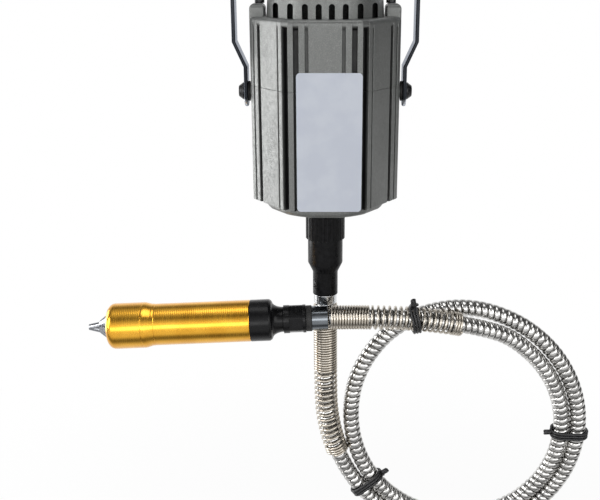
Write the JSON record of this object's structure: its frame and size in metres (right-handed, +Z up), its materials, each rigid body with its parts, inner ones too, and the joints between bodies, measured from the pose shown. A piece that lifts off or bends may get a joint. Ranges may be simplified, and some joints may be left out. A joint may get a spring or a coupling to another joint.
{
  "type": "hanging flex-shaft rotary tool",
  "caption": "Hanging flex-shaft rotary tool: a ribbed motor on a swinging bail drives a gold keyed-chuck handpiece through a coiled steel-hosed flexible shaft.",
  "frame": {"origin": "centre of the hanging hole, on the underside of the bail's crossbar", "axes": "+Z up along the hanging hole and the motor's axis, +X to the right as the tool is seen from the front, -Y the front with the label"},
  "size_m": [0.362, 0.0997, 0.4323],
  "materials": {
    "bail_steel": "zinc plated, satin",
    "casting": "grey metallic paint on die casting",
    "filter_foam": "open black foam",
    "black_screws": "black oxide",
    "fibre": "matt",
    "gland_rubber": "matt",
    "label": "semi-gloss film",
    "laminations": "stamped sheet",
    "winding": "enamelled copper wire",
    "shaft_steel": "ground",
    "copper": "turned copper",
    "fan_plastic": "moulded",
    "brush_brass": "stamped",
    "carbon": "pressed carbon",
    "black_plastic": "moulded, fine grain",
    "black_anodised": "black anodised, satin",
    "gold_anodised": "gold anodised, turned",
    "bright_steel": "turned",
    "hose_steel": "bright interlocked strip",
    "spring_steel": "nickel plated wire",
    "tie_plastic": "soft black"
  },
  "bodies": {
    "bail": {"bail": "bail_steel"},
    "motor": {"upper_casting": "casting", "lower_casting": "casting", "vent_cap": "casting", "intake_filter": "filter_foam", "case_screws": "black_screws", "pivot_screws": "black_screws", "pivot_washers": "fibre", "lead_gland": "gland_rubber", "blank_label": "label", "stator_core": "laminations", "field_coils": "winding", "upper_bearing": "shaft_steel", "lower_bearing": "shaft_steel", "brush_holders": "brush_brass", "carbon_brushes": "carbon", "brush_springs": "brush_brass", "motor_nose": "shaft_steel", "shaft_adapter": "black_plastic", "adapter_set_screws": "black_screws", "motor_ferrule": "bright_steel", "hose_lead_in": "hose_steel", "hose_coil": "hose_steel", "hose_single_turn": "hose_steel", "hose_lead_out": "hose_steel", "motor_relief_spring": "spring_steel", "hand_relief_spring": "spring_steel", "tie_right": "tie_plastic", "tie_lower": "tie_plastic", "tie_top": "tie_plastic", "hose_collar": "bright_steel", "dust_ring": "gland_rubber"},
    "armature": {"armature_shaft": "shaft_steel", "armature_core": "laminations", "armature_windings": "winding", "commutator": "copper", "cooling_fan": "fan_plastic", "core_stub": "shaft_steel"},
    "nut": {"coupling_nut": "black_plastic"},
    "core_key": {"drive_key": "shaft_steel"},
    "handpiece": {"quick_connector": "black_anodised", "rear_cap": "black_anodised", "grip_rear": "gold_anodised", "grip_band": "gold_anodised", "grip_front": "gold_anodised", "rear_bearing": "shaft_steel", "front_bearing": "shaft_steel", "bearing_sleeve": "shaft_steel"},
    "spindle": {"spindle": "shaft_steel", "chuck_body": "bright_steel"},
    "jaw_a": {"jaw_1": "bright_steel"},
    "jaw_b": {"jaw_2": "bright_steel"},
    "jaw_c": {"jaw_3": "bright_steel"}
  },
  "joints": [
    {"name": "motor_swing", "type": "hinge", "parent": "bail", "child": "motor", "pos_m": [0, 0, -0.086], "axis": [1, 0, 0], "range_deg": [-120, 120]},
    {"name": "armature_spin", "type": "hinge", "parent": "motor", "child": "armature", "pos_m": [0, 0, -0.1], "axis": [0, 0, 1], "continuous": true},
    {"name": "nut_turn", "type": "hinge", "parent": "motor", "child": "nut", "pos_m": [0, 0, -0.17], "axis": [0, 0, 1], "continuous": true},
    {"name": "core_key_spin", "type": "hinge", "parent": "motor", "child": "core_key", "pos_m": [-0.01808, -0.018, -0.24117], "axis": [0.999, 0, 0.0436], "continuous": true},
    {"name": "handpiece_pull", "type": "slide", "parent": "motor", "child": "handpiece", "axis": [-0.999, 0, -0.0436], "range_m": [0, 0.03]},
    {"name": "spindle_spin", "type": "hinge", "parent": "handpiece", "child": "spindle", "pos_m": [-0.098, -0.018, -0.24466], "axis": [0.999, 0, 0.0436], "continuous": true},
    {"name": "jaw_a_slide", "type": "slide", "parent": "spindle", "child": "jaw_a", "axis": [0.965, 0.2588, 0.0421], "range_m": [0, 0.0076]},
    {"name": "jaw_b_slide", "type": "slide", "parent": "spindle", "child": "jaw_b", "axis": [0.9748, -0.1294, -0.1818], "range_m": [0, 0.0076]},
    {"name": "jaw_c_slide", "type": "slide", "parent": "spindle", "child": "jaw_c", "axis": [0.9552, -0.1294, 0.2661], "range_m": [0, 0.0076]}
  ],
  "couplings": [
    {"joint": "core_key_spin", "follows": "armature_spin", "ratio": 1},
    {"joint": "spindle_spin", "follows": "armature_spin", "ratio": 1},
    {"joint": "jaw_b_slide", "follows": "jaw_a_slide", "ratio": 1},
    {"joint": "jaw_c_slide", "follows": "jaw_a_slide", "ratio": 1}
  ]
}
